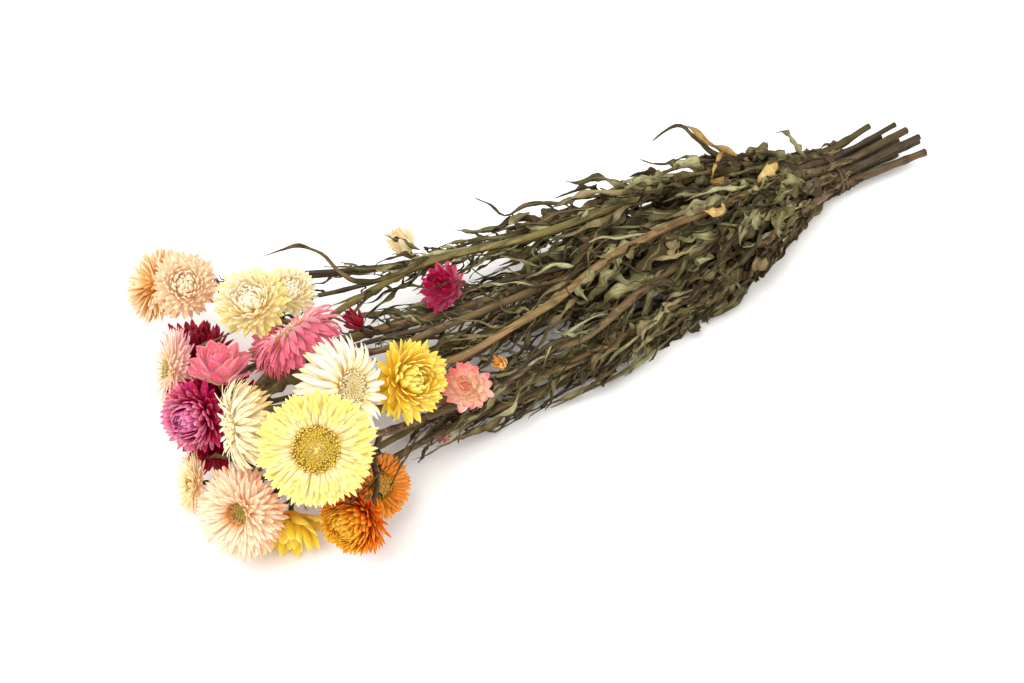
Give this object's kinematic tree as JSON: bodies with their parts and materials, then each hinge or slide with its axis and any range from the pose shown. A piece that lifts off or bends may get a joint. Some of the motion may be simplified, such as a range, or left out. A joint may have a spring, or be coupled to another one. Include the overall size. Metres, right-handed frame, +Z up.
{
  "type": "dried strawflower bunch",
  "caption": "Tied bunch of dried strawflowers lying on its side, papery heads at one end, curled leaves along the stems and bare cut ends past the tie.",
  "frame": {"origin": "on the surface the bunch lies on, under the middle of its bounding box", "axes": "+X along the stems from the flower heads towards the cut ends, +Z up from the surface, +Y across the bunch"},
  "size_m": [0.5234, 0.2261, 0.1225],
  "materials": {
    "stem_olive_bark": "dry, dull and finely ridged bark",
    "stem_brown_bark": "dry, dull and finely ridged bark",
    "stem_tan_bark": "dry, dull and finely ridged bark",
    "bracts_apricot": "dry papery bract with a faint sheen and fine lengthwise veins",
    "bracts_peach": "dry papery bract with a faint sheen and fine lengthwise veins",
    "bracts_cream": "dry papery bract with a faint sheen and fine lengthwise veins",
    "bracts_pink": "dry papery bract with a faint sheen and fine lengthwise veins",
    "bracts_blush": "dry papery bract with a faint sheen and fine lengthwise veins",
    "disc_gold": "dense dry florets, matt",
    "bracts_wine": "dry papery bract with a faint sheen and fine lengthwise veins",
    "bracts_coral": "dry papery bract with a faint sheen and fine lengthwise veins",
    "bracts_magenta": "dry papery bract with a faint sheen and fine lengthwise veins",
    "bracts_straw": "dry papery bract with a faint sheen and fine lengthwise veins",
    "bracts_ivory": "dry papery bract with a faint sheen and fine lengthwise veins",
    "bracts_lemon": "dry papery bract with a faint sheen and fine lengthwise veins",
    "bracts_yellow": "dry papery bract with a faint sheen and fine lengthwise veins",
    "bracts_orange": "dry papery bract with a faint sheen and fine lengthwise veins",
    "bracts_amber": "dry papery bract with a faint sheen and fine lengthwise veins",
    "leaf_brown": "dry crumpled leaf, matt",
    "leaf_green": "dry crumpled leaf, matt",
    "leaf_pale": "dry crumpled leaf, matt",
    "rubber_band": "thin natural rubber band, slightly dusty"
  },
  "bodies": {
    "root": {"stem_olive": "stem_olive_bark", "stem_brown": "stem_brown_bark", "stem_tan": "stem_tan_bark", "stem_thick": "stem_brown_bark", "stem_thin": "stem_tan_bark", "stem_magenta": "stem_olive_bark", "stem_rose": "stem_tan_bark", "stem_back": "stem_brown_bark", "stem_low_back": "stem_olive_bark", "stem_low_middle": "stem_tan_bark", "stem_low_front": "stem_olive_bark", "stem_bottom": "stem_brown_bark", "apricot_old_bracts": "bracts_apricot", "peach_pompon_bracts": "bracts_peach", "cream_double_bracts": "bracts_cream", "cream_second_bracts": "bracts_cream", "pink_reflexed_bracts": "bracts_pink", "blush_left_bracts": "bracts_blush", "blush_left_disc": "disc_gold", "wine_back_bracts": "bracts_wine", "coral_cup_bracts": "bracts_coral", "magenta_pompon_bracts": "bracts_magenta", "wine_middle_bracts": "bracts_wine", "cream_swept_bracts": "bracts_straw", "ivory_swept_bracts": "bracts_ivory", "lemon_large_bracts": "bracts_lemon", "lemon_large_disc": "disc_gold", "yellow_side_bracts": "bracts_yellow", "rose_small_bracts": "bracts_coral", "magenta_small_bracts": "bracts_magenta", "ruby_bud_bracts": "bracts_magenta", "cream_bud_bracts": "bracts_cream", "straw_bud_bracts": "bracts_straw", "rose_tiny_bud_bracts": "bracts_coral", "peach_large_bracts": "bracts_peach", "peach_large_disc": "disc_gold", "straw_low_bracts": "bracts_straw", "straw_low_disc": "disc_gold", "yellow_cup_bracts": "bracts_yellow", "orange_large_bracts": "bracts_orange", "orange_side_bracts": "bracts_amber", "orange_side_disc": "disc_gold", "wine_low_bracts": "bracts_wine", "back_rose_bracts": "bracts_coral", "back_gold_bracts": "bracts_amber", "under_cream_bracts": "bracts_cream", "under_wine_bracts": "bracts_wine", "leaf_long_curl": "leaf_brown", "leaf_top_hook": "leaf_green", "leaf_top_curl": "leaf_green", "leaf_tie_tip": "leaf_green", "leaf_front_hook": "leaf_green", "leaf_tendril_dark": "leaf_brown", "leaf_pale_crisp": "leaf_pale", "leaf_low_sweep": "leaf_green", "rubber_tie": "rubber_band"}
  },
  "joints": []
}
